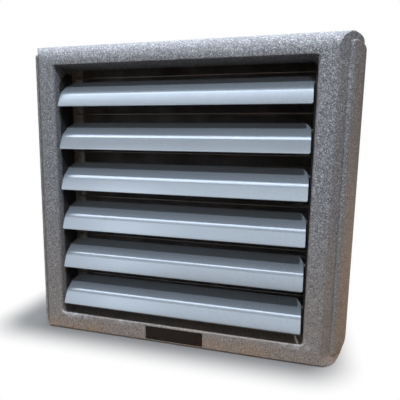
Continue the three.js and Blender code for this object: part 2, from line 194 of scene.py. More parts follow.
def chaikin(pts, times):
    for _ in range(times):
        out = [pts[0]]
        for a, b in zip(pts[:-1], pts[1:]):
            out.append((a[0] * 0.75 + b[0] * 0.25, a[1] * 0.75 + b[1] * 0.25))
            out.append((a[0] * 0.25 + b[0] * 0.75, a[1] * 0.25 + b[1] * 0.75))
        out.append(pts[-1])
        pts = out
    return pts


# ---------------------------------------------------------------- materials
def new_material(name):
    m = bpy.data.materials.new(name); m.use_nodes = True
    nt = m.node_tree; nt.nodes.clear()
    out = nt.nodes.new("ShaderNodeOutputMaterial"); b = nt.nodes.new("ShaderNodeBsdfPrincipled")
    nt.links.new(b.outputs[0], out.inputs[0])
    tc = nt.nodes.new("ShaderNodeTexCoord")
    return m, nt, b, tc.outputs["Object"]


def N(nt, kind, ins=None, **props):
    n = nt.nodes.new(kind)
    for k, v in props.items(): setattr(n, k, v)
    for k, v in (ins or {}).items():
        if isinstance(v, bpy.types.NodeSocket): nt.links.new(v, n.inputs[k])
        else: n.inputs[k].default_value = v
    return n


def ramp(nt, fac, stops):
    n = nt.nodes.new("ShaderNodeValToRGB"); nt.links.new(fac, n.inputs[0])
    e = n.color_ramp.elements
    while len(e) < len(stops): e.new(0.5)
    for s, (pos, c) in zip(e, stops):
        s.position = pos; s.color = (*c, 1) if len(c) == 3 else c
    return n.outputs[0]


def mixc(nt, fac, a, b, mode="MIX"):
    n = nt.nodes.new("ShaderNodeMix"); n.data_type = "RGBA"; n.blend_type = mode
    for i, v in ((0, fac), (6, a), (7, b)):
        if isinstance(v, bpy.types.NodeSocket): nt.links.new(v, n.inputs[i])
        else: n.inputs[i].default_value = v if i == 0 else (*v, 1)
    return n.outputs[2]


def maprange(nt, v, a, b, c, d, smooth=True):
    n = N(nt, "ShaderNodeMapRange", {"Value": v, "From Min": a, "From Max": b, "To Min": c, "To Max": d})
    if smooth: n.interpolation_type = "SMOOTHSTEP"
    return n.outputs["Result"]


def noise(nt, co, scale, detail=3.0, rough=0.55):
    return N(nt, "ShaderNodeTexNoise", {"Vector": co, "Scale": scale, "Detail": detail, "Roughness": rough}).outputs["Fac"]


def stretched(nt, co, s):
    return N(nt, "ShaderNodeMapping", {"Vector": co, "Scale": s}).outputs[0]


def finish(name, base, rough, metal=0.0, vary=0.1, scale=45.0, bump=0.12, fine=700.0, stretch=(1, 1, 1), coat=0.0, spec=0.5, tint=None):
    """A general finish: two scales of colour change, uneven gloss and a fine surface."""
    m, nt, b, co = new_material(name)
    co = stretched(nt, co, stretch)
    dark = tuple(c * (1 - vary) for c in base); light = tuple(min(1, c * (1 + vary)) for c in (tint or base))
    broad, small = noise(nt, co, scale, 4), noise(nt, co, fine, 2)
    c = ramp(nt, broad, [(0.3, dark), (0.7, light)])
    c = mixc(nt, 0.25, c, ramp(nt, small, [(0.25, tuple(x * 0.8 for x in base)), (0.75, tuple(min(1, x * 1.2) for x in base))]))
    nt.links.new(c, b.inputs["Base Color"])
    nt.links.new(maprange(nt, broad, 0.25, 0.75, max(0.04, rough - 0.07), min(1, rough + 0.09)), b.inputs["Roughness"])
    bp = N(nt, "ShaderNodeBump", {"Strength": bump, "Distance": 0.0003, "Height": small})
    nt.links.new(bp.outputs[0], b.inputs["Normal"])
    b.inputs["Metallic"].default_value = metal
    b.inputs["Coat Weight"].default_value = coat
    b.inputs["Specular IOR Level"].default_value = spec
    return m


def foam_material(name):
    """Moulded expanded beads, 3 to 4 mm: each has its own grey, pressed flat against its neighbours."""
    m, nt, b, co = new_material(name)
    beads = N(nt, "ShaderNodeTexVoronoi", {"Vector": co, "Scale": 440.0, "Randomness": 0.85})
    edge = N(nt, "ShaderNodeTexVoronoi", {"Vector": co, "Scale": 440.0, "Randomness": 0.85}, feature="DISTANCE_TO_EDGE")
    g = N(nt, "ShaderNodeSeparateColor", {0: beads.outputs["Color"]})
    xyz = N(nt, "ShaderNodeSeparateXYZ", {0: co})
    grey = ramp(nt, g.outputs[0], [(0.0, (0.245, 0.253, 0.272)), (0.3, (0.325, 0.335, 0.360)), (0.65, (0.420, 0.433, 0.463)), (0.9, (0.545, 0.561, 0.598)), (1.0, (0.68, 0.70, 0.742))])
    # low down the beads turn brownish towards the bottom: a painted warm glow of light bounced up off the floor,
    # mottled by noise
    mottle = noise(nt, co, 9.0, 4)
    height = maprange(nt, xyz.outputs["Z"], 0.36, 0.02, 0.0, 1.0)
    painted_bounce = N(nt, "ShaderNodeMath", {0: height, 1: maprange(nt, mottle, 0.25, 0.75, 0.45, 1.0)}, operation="MULTIPLY").outputs[0]
    grey = mixc(nt, N(nt, "ShaderNodeMath", {0: painted_bounce, 1: 0.66}, operation="MULTIPLY").outputs[0], grey, (0.66, 0.555, 0.465))
    # a warm brown band along the lowest 1 to 4 cm of the foam: painted warm floor-bounce light on the base
    painted_foot_glow = N(nt, "ShaderNodeMath", {0: maprange(nt, xyz.outputs["Z"], 0.040, 0.010, 0.0, 1.0), 1: maprange(nt, noise(nt, co, 14.0, 4), 0.35, 0.7, 0.12, 0.62)}, operation="MULTIPLY").outputs[0]
    grey = mixc(nt, painted_foot_glow, grey, (0.70, 0.47, 0.30))
    # gaps between beads are darker
    gap = maprange(nt, edge.outputs["Distance"], 0.0, 0.22, 0.28, 1.0)
    grey = mixc(nt, 1.0, grey, N(nt, "ShaderNodeCombineColor", {0: gap, 1: gap, 2: gap}).outputs[0], "MULTIPLY")
    # pale scuffs where the lower lip of the outlet has been rubbed
    worn = None
    for x, y, z, r in ((-240, 0, 37, 30), (-203, 2, 36, 24), (-108, 0, 31, 26), (256, 4, 40, 30), (228, 0, 38, 18)):
        d = N(nt, "ShaderNodeVectorMath", {0: co, 1: P((x, y, z))}, operation="DISTANCE").outputs["Value"]
        w = maprange(nt, d, r / 1000, r / 3000, 0.0, 1.0)
        worn = w if worn is None else N(nt, "ShaderNodeMath", {0: worn, 1: w}, operation="MAXIMUM").outputs[0]
    patch = N(nt, "ShaderNodeMath", {0: worn, 1: maprange(nt, noise(nt, co, 120.0, 5), 0.42, 0.62, 0.0, 0.75)}, operation="MULTIPLY").outputs[0]
    lip = maprange(nt, xyz.outputs["Z"], 0.026, 0.034, 0.0, 1.0)
    patch = N(nt, "ShaderNodeMath", {0: patch, 1: lip}, operation="MULTIPLY").outputs[0]
    grey = mixc(nt, patch, grey, (0.60, 0.60, 0.64))
    grey = mixc(nt, maprange(nt, noise(nt, co, 5.0, 3), 0.3, 0.7, 0.0, 0.16), grey, (0.17, 0.17, 0.18))
    nt.links.new(grey, b.inputs["Base Color"])
    nt.links.new(maprange(nt, g.outputs[1], 0.0, 1.0, 0.62, 0.86), b.inputs["Roughness"])
    pillow = maprange(nt, edge.outputs["Distance"], 0.0, 0.30, 0.0, 1.0)
    b1 = N(nt, "ShaderNodeBump", {"Strength": 0.75, "Distance": 0.0005, "Height": pillow})
    b2 = N(nt, "ShaderNodeBump", {"Strength": 0.22, "Distance": 0.0003, "Height": noise(nt, co, 1400.0, 3), "Normal": b1.outputs[0]})
    nt.links.new(b2.outputs[0], b.inputs["Normal"])
    b.inputs["Specular IOR Level"].default_value = 0.32
    return m


def louvre_material():
    m, nt, b, co = new_material("louvre_lacquer")
    flake, cloud = noise(nt, co, 2600.0, 2), noise(nt, co, 6.0, 3)
    c = ramp(nt, cloud, [(0.3, (0.405, 0.468, 0.535)), (0.7, (0.440, 0.503, 0.570))])
    c = mixc(nt, 0.15, c, ramp(nt, flake, [(0.3, (0.38, 0.450, 0.525)), (0.7, (0.52, 0.595, 0.675))]))
    c = mixc(nt, maprange(nt, noise(nt, co, 26.0, 5), 0.52, 0.78, 0.0, 0.14), c, (0.38, 0.40, 0.42))
    nt.links.new(c, b.inputs["Base Color"])
    nt.links.new(maprange(nt, flake, 0.2, 0.8, 0.23, 0.30), b.inputs["Roughness"])
    b1 = N(nt, "ShaderNodeBump", {"Strength": 0.04, "Distance": 0.0002, "Height": flake})
    nt.links.new(b1.outputs[0], b.inputs["Normal"])
    b.inputs["Metallic"].default_value = 0.64
    b.inputs["Coat Weight"].default_value = 0.10
    b.inputs["Coat Roughness"].default_value = 0.2
    return m


def galvanised(name, base=(0.52, 0.53, 0.54), mottle=True):
    m, nt, b, co = new_material(name)
    sp = N(nt, "ShaderNodeTexVoronoi", {"Vector": co, "Scale": 130.0, "Randomness": 1.0})
    g = N(nt, "ShaderNodeSeparateColor", {0: sp.outputs["Color"]})
    c = ramp(nt, g.outputs[0], [(0.0, tuple(x * 0.72 for x in base)), (0.5, base), (1.0, tuple(min(1, x * 1.25) for x in base))])
    if mottle:
        c = mixc(nt, maprange(nt, noise(nt, co, 14.0, 5), 0.42, 0.72, 0.0, 0.3), c, (0.55, 0.50, 0.44))
    nt.links.new(c, b.inputs["Base Color"])
    nt.links.new(maprange(nt, g.outputs[1], 0.0, 1.0, 0.38, 0.55), b.inputs["Roughness"])
    bp = N(nt, "ShaderNodeBump", {"Strength": 0.06, "Distance": 0.0004, "Height": g.outputs[2]})
    nt.links.new(bp.outputs[0], b.inputs["Normal"])
    b.inputs["Metallic"].default_value = 0.05
    return m


FOAM = foam_material("foam_beads")
SILVER = louvre_material()
GALV = galvanised("galvanised_sheet", (0.86, 0.84, 0.80))
ZINC = finish("zinc_plate", (0.55, 0.56, 0.57), 0.32, 0.9, vary=0.12, scale=120, fine=1500, stretch=(1, 1, 1))
STAY = finish("stay_wire", (0.42, 0.41, 0.40), 0.38, 0.85, vary=0.2, scale=90, fine=1500)
RAIL = finish("rail_black", (0.040, 0.037, 0.040), 0.40, 0.0, vary=0.3, scale=30, bump=0.05, fine=900, coat=0.1)
FIN = finish("fin_coat", (0.40, 0.415, 0.44), 0.5, 0.1, vary=0.35, scale=22, bump=0.08, fine=900, tint=(0.45, 0.455, 0.47))
COPPER = finish("copper_tube", (0.62, 0.26, 0.14), 0.30, 0.95, vary=0.22, scale=38, fine=900, tint=(0.48, 0.24, 0.16))
BRASS = finish("brass_turned", (0.60, 0.44, 0.17), 0.27, 0.95, vary=0.12, scale=60, fine=1800, stretch=(1, 6, 1))
MOTOR = finish("motor_shell", (0.035, 0.036, 0.038), 0.42, 0.2, vary=0.18, scale=50, bump=0.3, fine=1500)
BLADE = finish("fan_plastic", (0.022, 0.022, 0.024), 0.40, 0.0, vary=0.16, scale=40, bump=0.18, fine=1300)
GUARD = finish("guard_powder", (0.022, 0.023, 0.025), 0.36, 0.1, vary=0.14, scale=60, bump=0.35, fine=2200)
RUBBER = finish("lead_sheath", (0.016, 0.016, 0.016), 0.55, 0.0, vary=0.2, scale=50, bump=0.2, fine=1200)
BOX = finish("box_plastic", (0.085, 0.092, 0.100), 0.52, 0.0, vary=0.1, scale=40, bump=0.4, fine=1700)
BADGE = finish("badge_gloss", (0.026, 0.020, 0.018), 0.30, 0.0, vary=0.18, scale=26, bump=0.03, fine=700, spec=0.35)
STEEL = finish("screw_steel", (0.50, 0.51, 0.52), 0.28, 0.95, vary=0.1, scale=200, fine=2500)

# ---------------------------------------------------------------- foam casing
PLAN = [(290, 0), (292.7, .7), (295, 2.6), (298.4, 5.6), (310.6, 20), (321.5, 35.5), (330.5, 54), (337, 72), (343, 98), (346, 118), (347, 138)]
CURVE = chaikin(PLAN, 2)
SPLIT, CH, CD, ROUND = 150.0, 613.0, 300.0, 36.0


def front_section(f, ins):
    y1, z0, z1, q, rho = SPLIT - ins, ins, CH - ins, 1.5, 2.5
    rb = 5 - 2 * min(1, f / 20)
    pts = arc2(y1 - q, z0 + q, q, 0, -90, 3) + arc2(f + rb, z0 + rb, rb, -90, -180, 6)
    pts += [(f, z) for z in (9, 14, 20, 26, 40, 150, 306, 460, 540)]
    c = z1 - ROUND
    if f + rho < ROUND:
        zc = c + math.sqrt(max(0, (ROUND - rho) ** 2 - (ROUND - f - rho) ** 2))
        al = math.degrees(math.atan2(zc - c, f + rho - ROUND))
    else:
        zc, al = z1 - rho, 90.0
    pts += arc2(f + rho, zc, rho, 180, al, 5)
    la = ROUND * math.radians(al - 90)
    ys = ROUND if la > 1e-9 else f + rho
    span = max(la, min(30, 0.5 * (y1 - q - ys)))
    for k in range(1, 17):
        s = span * k / 16
        if s < la:
            a = math.radians(al) - s / ROUND
            pts.append((ROUND + ROUND * math.cos(a), c + ROUND * math.sin(a)))
        else:
            pts.append((ys + s - la, z1))
    return pts + arc2(y1 - q, z1 - q, q, 90, 0, 3)


def rear_section(b, ins):
    y0, z0, z1, q = SPLIT + 0.3 + ins, ins, CH - ins, 1.5
    return (arc2(y0 + q, z0 + q, q, 180, 270, 3) + arc2(b - 10, z0 + 10, 10, -90, 0, 6) + [(b, z) for z in (60, 150, 306, 460, 560)]
            + arc2(b - 25, z1 - 25, 25, 0, 90, 10) + arc2(y0 + q, z1 - q, q, 90, 180, 3))


def end_inset(x, q=2.0):
    t = abs(x) - (347 - q)
    return 0.0 if t <= 0 else q - math.sqrt(max(0.0, q * q - t * t))


fx = sorted(CURVE)
cx, cf = np.array([p[0] for p in fx]), np.array([p[1] for p in fx])
right = sorted({round(float(x), 4) for x in [*cx, 345.0, 345.4, 345.9, 346.3, 346.6, 346.85, 347.0]})
xs = [-x for x in reversed(right)] + [float(x) for x in np.linspace(-260, 260, 9)] + right
rings = []
for x in xs:
    f = float(np.interp(abs(x), cx, cf)) if abs(x) > 290 else 0.0
    rings.append([(x, y, z) for y, z in front_section(f, end_inset(x))])
# the moulding is a little fuller at the foot of its right front corner
swell = ([0, 12, 21, 29, 37, 53, 70, 138], [8, 10.5, 9.5, 7.5, 5, 2.4, 1, 0])
for i, ring in enumerate(rings):
    for k, (x, y, z) in enumerate(ring):
        if x >= 290 and z < 25.9:
            t = 1 - z / 26
            ring[k] = (min(346.9, x + float(np.interp(y, *swell)) * t * t), y, z)
front = raw("casing_front", *loft(rings))


def rim(y, r):
    t = y + 0.1
    return r - math.sqrt(max(0.0, r * r - (r - t) ** 2)) if t < r else 0.0


cutter = []
for y in (-6, 0, 0.25, 0.6, 1.1, 1.8, 2.6, 3.6, 4.8, 6.4, 12, 18, 22.7, 67):
    yy = max(y, 0.0)
    o, p, q = rim(yy, 6.0), rim(yy, 3.0), rim(yy, 2.0)
    drop = min(14.0, max(0.0, (yy - 4) * 0.75))      # the floor of the outlet falls away behind its front edge
    cutter.append([(x, y, z) for x, z in rrect(-260 - o, 260 + o, 38.5 - p - drop, 569.5 + q, 8 + q, 8)])
opening = raw("c1", *loft(cutter))
cavity_f = raw("c2", *prismY(rrect(-300, 300, 30.6, 582.4, 16, 8), 66, 156))
recess = raw("c3", *prismY(rrect(-60, 63.6, 4.9, 34.1, 1.8, 4), -5, 1.6))
INSERTS = [(-240, 78), (240, 78), (-240, 228), (240, 228)]


def pocket(x, y):
    a = raw("ca", *prismZ(rrect(x - 32.3, x + 32.3, y - 18.3, y + 18.3, 4, 5), CH - 4.3, CH + 6))
    v, f = turned([(0, 0), (7.8, 0), (7.8, 18), (0, 18)], 28)
    return a, raw("cb", swap(v, "z", (x, y, CH - 17.3)), f)


cut(front, opening, cavity_f, recess, *pocket(*INSERTS[0]), *pocket(*INSERTS[1]))
piece(front, FOAM, stands=["front_shell"], sharp=40)

arc28 = [(319 + 28 * math.sin(math.radians(a)), 272 + 28 * math.cos(math.radians(a))) for a in range(0, 91, 6)]
rx, rf = np.array([p[0] for p in arc28]), np.array([p[1] for p in arc28])
right = sorted({round(float(x), 4) for x in [*rx, 345.0, 345.4, 345.9, 346.3, 346.6, 346.85, 347.0]})
xs = [-x for x in reversed(right)] + [float(x) for x in np.linspace(-280, 280, 9)] + right
rings = []
for x in xs:
    t = abs(x) - 319
    b = 300.0 if t <= 0 else 272 + math.sqrt(max(0.0, 784 - t * t))
    rings.append([(x, y, z) for y, z in rear_section(b, end_inset(x))])
rear = raw("casing_rear", *loft(rings))
cavity_r = raw("c4", *prismY(rrect(-300, 300, 30.6, 582.4, 16, 8), 144, 262))
FZ = 306.5
mouth = [(0, 250), (208, 250), (208, 272)] + [(208 + 18.2 * (1 - math.cos(math.radians(a))), 272 + 27.6 * math.sin(math.radians(a))) for a in range(6, 91, 7)] + [(226.2, 310), (0, 310)]
rear_cut = [cavity_r, raw("c5", *turned(mouth, 128, 0, FZ)), *pocket(*INSERTS[2]), *pocket(*INSERTS[3])]
SX, SZ = -287, (128, 486)
for z in SZ:
    rear_cut.append(raw("c6", *turned([(0, 250), (15, 250), (15, 298.6), (16.4, 300.1), (16.4, 310), (0, 310)], 40, SX, z)))
cut(rear, *rear_cut)
piece(rear, FOAM, stands=["rear_shell"], sharp=40)


# raised cheeks
def cheek(name, side, node):
    base = [p for p in CURVE if p[1] >= 20.0] + [(347, y) for y in (150, 180, 215, 250, 284)]
    base = [(310.9, 20.4)] + base if base[0][1] > 20.6 else base
    seg = [0.0]
    for a, b in zip(base[:-1], base[1:]): seg.append(seg[-1] + math.dist(a, b))
    total = seg[-1]
    ss = sorted({*[0, 1.6, 3.2, 4.8, 5.9, 6.4, 6.9, 8, 10, 14, 19, 25], *[total - t for t in (0, .2, .6, 1.2, 2.2, 4, 7, 10, 14, 19)], *np.linspace(30, total - 25, 22)})
    bx, by = [p[0] for p in base], [p[1] for p in base]
    rings = []
    for s in ss:
        x, y = float(np.interp(s, seg, bx)), float(np.interp(s, seg, by))
        x2, y2 = float(np.interp(min(s + 3, total), seg, bx)), float(np.interp(min(s + 3, total), seg, by))
        x1, y1 = float(np.interp(max(s - 3, 0), seg, bx)), float(np.interp(max(s - 3, 0), seg, by))
        L = math.hypot(x2 - x1, y2 - y1); nx, ny = (y2 - y1) / L, -(x2 - x1) / L
        h = 4.75
        if s < 6.4: h = 0.6 + 4.15 * (s / 6.4)
        if total - s < 2.4: h = 4.75 - 2.4 + math.sqrt(max(0, 2.4 ** 2 - (2.4 - (total - s)) ** 2))
        zhi, zlo = 599.0, 14.3
        if y < 37.7: zhi = 573 + math.sqrt(max(0, 676 - (37.7 - y) ** 2))
        if y < 25.7: zlo = 28.3 - math.sqrt(max(0, 196 - (25.7 - y) ** 2))
        if y > 274: zhi, zlo = 585 + math.sqrt(max(0, 196 - (y - 274) ** 2)), 26.3 - math.sqrt(max(0, 144 - (y - 274) ** 2))
        q = min(3.0, (h - 0.35) * 0.8)
        pts = [(0.35, zlo)] + [(h - q + q * math.cos(math.radians(a)), zlo + q + q * math.sin(math.radians(a))) for a in (-90, -67, -45, -22, 0)]
        pts += [(h, zlo + (zhi - zlo) * t) for t in (0.1, 0.3, 0.5, 0.7, 0.9)]
        pts += [(h - q + q * math.cos(math.radians(a)), zhi - q + q * math.sin(math.radians(a))) for a in (0, 22, 45, 67, 90)] + [(0.35, zhi)]
        rings.append([(side * (x + nx * k), y + ny * k, z) for k, z in pts])
    return piece(raw(name, *loft(rings)), FOAM, stands=[node], sharp=50)


cheek("cheek_right", 1, "side_panel_right")
cheek("cheek_left", -1, "side_panel_left")

# blank badge plate
piece(soften(raw("badge_blank", *prismY(rrect(-59.7, 63.3, 5.2, 33.8, 1.6, 5), 0.25, 1.3)), 0.3, 2), BADGE, stands=["badge_plate"])

# suspension inserts, each with a threaded hole
for i, (x, y) in enumerate(INSERTS):
    prof = [(4.0, 0)] + [(4.0 + (0.35 if k % 2 else 0.0), 0.6 + k * 0.62) for k in range(25)] + [(4.0, 16.6), (4.5, 17.0), (7.3, 17.0)]
    v, f = turned([(4.0, 0.2), *prof[1:-3], (4.0, 16.4), (4.6, 16.95), (7.5, 16.95), (7.5, 0.2)], 32, closed=True)
    ring = raw("ring", swap(v, "z", (x, y, CH - 17)), f)
    plate = raw("plate", *prismZ(rrect(x - 32, x + 32, y - 18, y + 18, 3.8, 6), CH - 4, CH))
    v, f = turned([(0, 0), (7.6, 0), (7.6, 30), (0, 30)], 32)
    cut(plate, raw("hole", swap(v, "z", (x, y, CH - 17)), f))
    piece(join(f"insert_{i + 1}", [soften(plate, 0.4), ring]), ZINC, stands=[f"suspension_insert_{i + 1}"])

# ---------------------------------------------------------------- louvres
PITCH, PY, PTOP, BX = 85.8, 38.0, 528.1, 254.4
SET = [-4, -1.5, 0, 0, 0, -5]
LIP, CREASE, REAR, SHEET = Vector((-33.5, -42.7)), Vector((-19, -10.2)), Vector((12.5, 15.0)), 2.4


def louvre_front():
    """Outer line from the lip to the crease: a slightly crowned face, then a narrow facet where the sheet folds over."""
    end = math.degrees(math.atan2((REAR - CREASE).y, (REAR - CREASE).x))
    at, turn = [0, 25.5, 27.5, 31.5, 35.2, 36.0], [71.0, 67.0, 58.0, 53.0, 44.5, end]
    n, p, run = 60, Vector(LIP), [(Vector(LIP), math.radians(71.5))]
    for k in range(n):
        th = math.radians(float(np.interp(36.0 * (k + 0.5) / n, at, turn)))
        p = p + Vector((math.cos(th), math.sin(th))) * (36.0 / n)
        run.append((p.copy(), th))
    miss = CREASE - p
    return [(q + miss * (k / n), th) for k, (q, th) in enumerate(run)]


def louvre_section():
    d1, d2 = (CREASE - LIP).normalized(), (REAR - CREASE).normalized()
    run = louvre_front()
    n1, n2 = Vector((d1.y, -d1.x)), Vector((d2.y, -d2.x))
    out = []

    def bend(c, a, b, n):
        for k in range(n + 1):
            t = k / n
            out.append(tuple(a * (1 - t) ** 2 + c * 2 * t * (1 - t) + b * t * t))

    bend(LIP, LIP + n1 * 0.9, LIP + d1 * 0.9, 4)
    out += [tuple(q) for q, th in run[2:43:4]] + [tuple(q) for q, th in run[43:]]
    bend(REAR, REAR - d2 * 0.8, REAR + n2 * 0.8, 4)
    bend(REAR + n2 * SHEET, REAR + n2 * (SHEET - 0.7), REAR + n2 * SHEET - d2 * 0.7, 3)
    surf = CREASE + d2 * (-CREASE).dot(d2) + n2 * SHEET
    out.append(tuple(surf + d2 * 6.2))
    base = math.atan2(n2.y, n2.x)
    for k in range(62, -63, -8):
        a = base + math.radians(k)
        out.append((5.2 * math.cos(a), 5.2 * math.sin(a)))
    out.append(tuple(surf - d2 * 6.2))
    out += [tuple(q + Vector((math.sin(th), -math.cos(th))) * SHEET) for q, th in run[:42:-1]] + [tuple(q + Vector((math.sin(th), -math.cos(th))) * SHEET) for q, th in run[42:2:-4]]
    bend(LIP + n1 * SHEET, LIP + n1 * SHEET + d1 * 0.7, LIP + n1 * (SHEET - 0.7), 3)
    return out


def louvre_end(side):
    d2 = (REAR - CREASE).normalized()
    pts = [(BX + 4.01, 17.5), (BX - 10.0, 40.3), (BX + 30, 48.7)]
    up = [(side * x, CREASE.x + d2.x * s - d2.y * w, CREASE.y + d2.y * s + d2.x * w) for w in (-8, 8) for x, s in pts]
    a = raw("e1", [(x, y + PY, z) for x, y, z in up], [(0, 1, 2), (5, 4, 3), (0, 3, 4, 1), (1, 4, 5, 2), (2, 5, 3, 0)])
    d1 = (CREASE - LIP).normalized()
    pts = [(BX - 3.4, -2)] + [(BX - 3.4 + 3.4 * math.sin(math.radians(t)), 3.4 - 3.4 * math.cos(math.radians(t))) for t in range(0, 91, 15)] + [(BX + 3, 3.4), (BX + 3, -2)]
    rings = [[(side * x, LIP.x + d1.x * s - d1.y * w + PY, LIP.y + d1.y * s + d1.x * w) for x, s in pts] for w in (-8, 8)]
    return a, raw("e2", *loft(rings))


section = louvre_section()
blade = raw("blade", *loft([[(x, y + PY, z) for y, z in section] for x in np.linspace(-BX, BX, 15)]))
cut(blade, *louvre_end(1), *louvre_end(-1))
soften(blade, 0.4, 2, 40)
blade_co = np.array([v.co for v in blade.data.vertices])
for i, deg in enumerate(SET):
    zp = PTOP - i * PITCH
    a = math.radians(deg)
    me = blade.data.copy(); me.name = f"louvre_blade_{i + 1}"
    y, z = blade_co[:, 1] - (PY - HALF) / 1000, blade_co[:, 2]
    co = np.stack([blade_co[:, 0], y * math.cos(a) - z * math.sin(a) + (PY - HALF) / 1000, y * math.sin(a) + z * math.cos(a) + zp / 1000], 1)
    me.vertices.foreach_set("co", co.astype(np.float32).ravel()); me.update()
    ob = bpy.data.objects.new(f"louvre_blade_{i + 1}", me); sc.collection.objects.link(ob)
    piece(ob, SILVER, f"louvre_{i + 1}", [f"louvre_{i + 1}"], sharp=38)
    for side, nm in ((1, "right"), (-1, "left")):
        prof = [(0, 0), (4.1, 0), (4.4, 0.3), (4.4, 1.6), (4.1, 1.9), (2.5, 1.9), (2.5, 4.4), (2.2, 4.7), (0, 4.7)]
        v, f = turned(prof, 24)
        v = swap(v, "x" if side > 0 else "-x", (side * (BX + 0.3), PY, zp))
        piece(raw(f"pin_{nm}_{i + 1}", v, f), ZINC, f"louvre_{i + 1}", [f"louvre_{i + 1}_pin_{nm}"])
bpy.data.objects.remove(blade)

# black rails with a hole for each pin
outline = [(18, 54.5), (18, 535.5), (40, 558.5), (62, 558.5), (62, 49.5), (23, 49.5)]
for side, nm in ((1, "right"), (-1, "left")):
    x0, x1 = sorted((side * 257.4, side * 259.6))
    ob = raw(f"rail_{nm}", *prismX(outline, x0, x1))
    holes = []
    for i in range(6):
        v, f = turned([(0, -6), (2.9, -6), (2.9, 6), (0, 6)], 24)
        holes.append(raw("h", swap(v, "x", (side * 258.5, PY, PTOP - i * PITCH)), f))
    cut(ob, *holes)
    piece(soften(ob, 0.45, 2, 50), RAIL, stands=[f"louvre_rail_{nm}"])

# ---------------------------------------------------------------- heat exchanger
CX0, CX1, CZ0, CZ1, CY0, CY1 = -250.0, 259.0, 34.0, 579.0, 94.0, 146.0
verts, faces = [], []
zs = np.linspace(CZ0 + 0.2, CZ1 - 0.2, 58)
for i, x in enumerate(np.arange(CX0 + 0.6, CX1 - 0.5, 2.1)):
    b = len(verts)
    for j, z in enumerate(zs):
        w = 0.32 * math.sin(z * 0.33)
        for y, t in ((CY0 + 0.1, 0.11), (CY1 - 0.1, 0.11)):
            verts += [(x + w - t, y, z), (x + w + t, y, z)]
    for j in range(len(zs) - 1):
        a, c = b + 4 * j, b + 4 * j + 4
        faces += [(a, a + 1, c + 1, c), (a + 1, a + 3, c + 3, c + 1), (a + 3, a + 2, c + 2, c + 3), (a + 2, a, c, c + 2)]
    e = b + 4 * (len(zs) - 1)
    faces += [(b, b + 2, b + 3, b + 1), (e, e + 1, e + 3, e + 2)]
fins = raw("coil_fins", verts, faces)
fins.data.update()
piece(fins, FIN, stands=["coil_fin_pack"], weighted=False)
pipes = []
for z in (72, 110, 148, 182, 220, 258, 292, 330, 368, 402, 440, 478, 514, 548):
    v, f = turned([(0, 0), (4.6, 0), (4.6, CX1 - CX0 - 1), (0, CX1 - CX0 - 1)], 16)
    for y in (108, 132):
        pipes.append(raw("t", swap(v, "x", (CX0 + 0.5, y, z)), f))
piece(join("coil_pipes", pipes), FIN)


def end_plate(name, x, s, node):
    w, fl = 1.5, 25
    pts = [(0, 90), (fl, 90), (fl, 90 + w), (w, 90 + w), (w, 149.5 - w), (fl, 149.5 - w), (fl, 149.5), (0, 149.5)]
    ob = raw(name, *prismZ([(x + s * a, b) for a, b in pts], CZ0 - 3, CZ1 + 3))
    return piece(soften(ob, 0.5, 2, 50), GALV, stands=[node])


end_plate("end_plate_left", CX0 - 0.3, -1, "coil_plate_left")
end_plate("end_plate_right", CX1 + 0.3, 1, "coil_plate_right")
for i, z in enumerate((556.6, 478, 394.3, 290.6, 200, 104.2)):
    path = [(x, 87.4, z + 0.12 * math.sin(x * 0.021 + i)) for x in np.linspace(CX0 - 13.6, CX1 + 13.6, 40)]
    piece(raw(f"stay_{i + 1}", *tube(path, 1.2, 14)), STAY, stands=[f"coil_stay_{i + 1}"])
for nm, z0, z1 in (("supply", 62, 292), ("return", 322, 552)):
    L = z1 - z0
    prof = [(0, 0)] + [(9.5 * math.sin(math.radians(a)), 4 - 4 * math.cos(math.radians(a))) for a in range(15, 91, 15)] + [(9.5, L - 4)] + \
        [(9.5 * math.cos(math.radians(a)), L - 4 + 4 * math.sin(math.radians(a))) for a in range(15, 91, 15)]
    v, f = turned(prof, 40)
    piece(raw(f"{nm}_manifold", swap(v, "z", (SX, 120, z0)), f), COPPER, stands=[f"{nm}_header"])
    # stub: plain tube, hexagon, then a cut thread up to the open end
    zc = SZ[0] if nm == "supply" else SZ[1]
    parts = [raw("a", *turned([(0, 129.8), (9.2, 129.8), (9.5, 130.2), (9.5, 306.2), (0, 306.2)], 40, SX, zc))]
    hexa = raw("b", *prismY([(SX + 16.5 * math.cos(math.radians(60 * k)), zc + 16.5 * math.sin(math.radians(60 * k))) for k in range(6)], 306, 316))
    parts.append(soften(hexa, 0.6, 2))
    n, rings = 48, []
    for k in range(73):
        y = 316 + 18 * k / 72
        ring = []
        for j in range(n):
            ph = (y / 1.81 - j / n) % 1
            depth = 1.1 * abs(2 * ph - 1) * min(1, (y - 316) / 1.5) * min(1.0, (334 - y) / 0.8 + 0.3)
            r = 13.0 - depth - (0.5 if y > 333.6 else 0)
            ring.append((SX + r * math.sin(2 * math.pi * j / n), y, zc + r * math.cos(2 * math.pi * j / n)))
        rings.append(ring)
    for y, r in ((334, 10.4), (333.6, 9.8), (322, 9.8), (322, 0.01)):
        rings.append([(SX + r * math.sin(2 * math.pi * j / n), y, zc + r * math.cos(2 * math.pi * j / n)) for j in range(n)])
    parts.append(raw("c", *loft(rings)))
    piece(join(f"{nm}_connection", parts), BRASS, stands=[f"{nm}_stub"])
for nm, zc, way in (("air_vent", 552.3, "z"), ("drain", 61.7, "-z")):
    hexa = [(7 * math.cos(math.radians(60 * k)), 7 * math.sin(math.radians(60 * k))) for k in range(6)]
    v, f = loft([[(a, y, b) for a, b in hexa] for y in (0, 6)])
    one = soften(raw("a", swap(v, way, (SX, 120, zc)), f), 0.5, 2)
    v, f = turned([(0, 5.8), (4, 5.8), (4, 10.3), (3.3, 11), (1.2, 11), (1.2, 9.6), (0, 9.6)], 24)
    two = raw("b", swap(v, way, (SX, 120, zc)), f)
    piece(join(f"{nm}_cap", [one, two]), BRASS, stands=[f"{nm}_plug"])
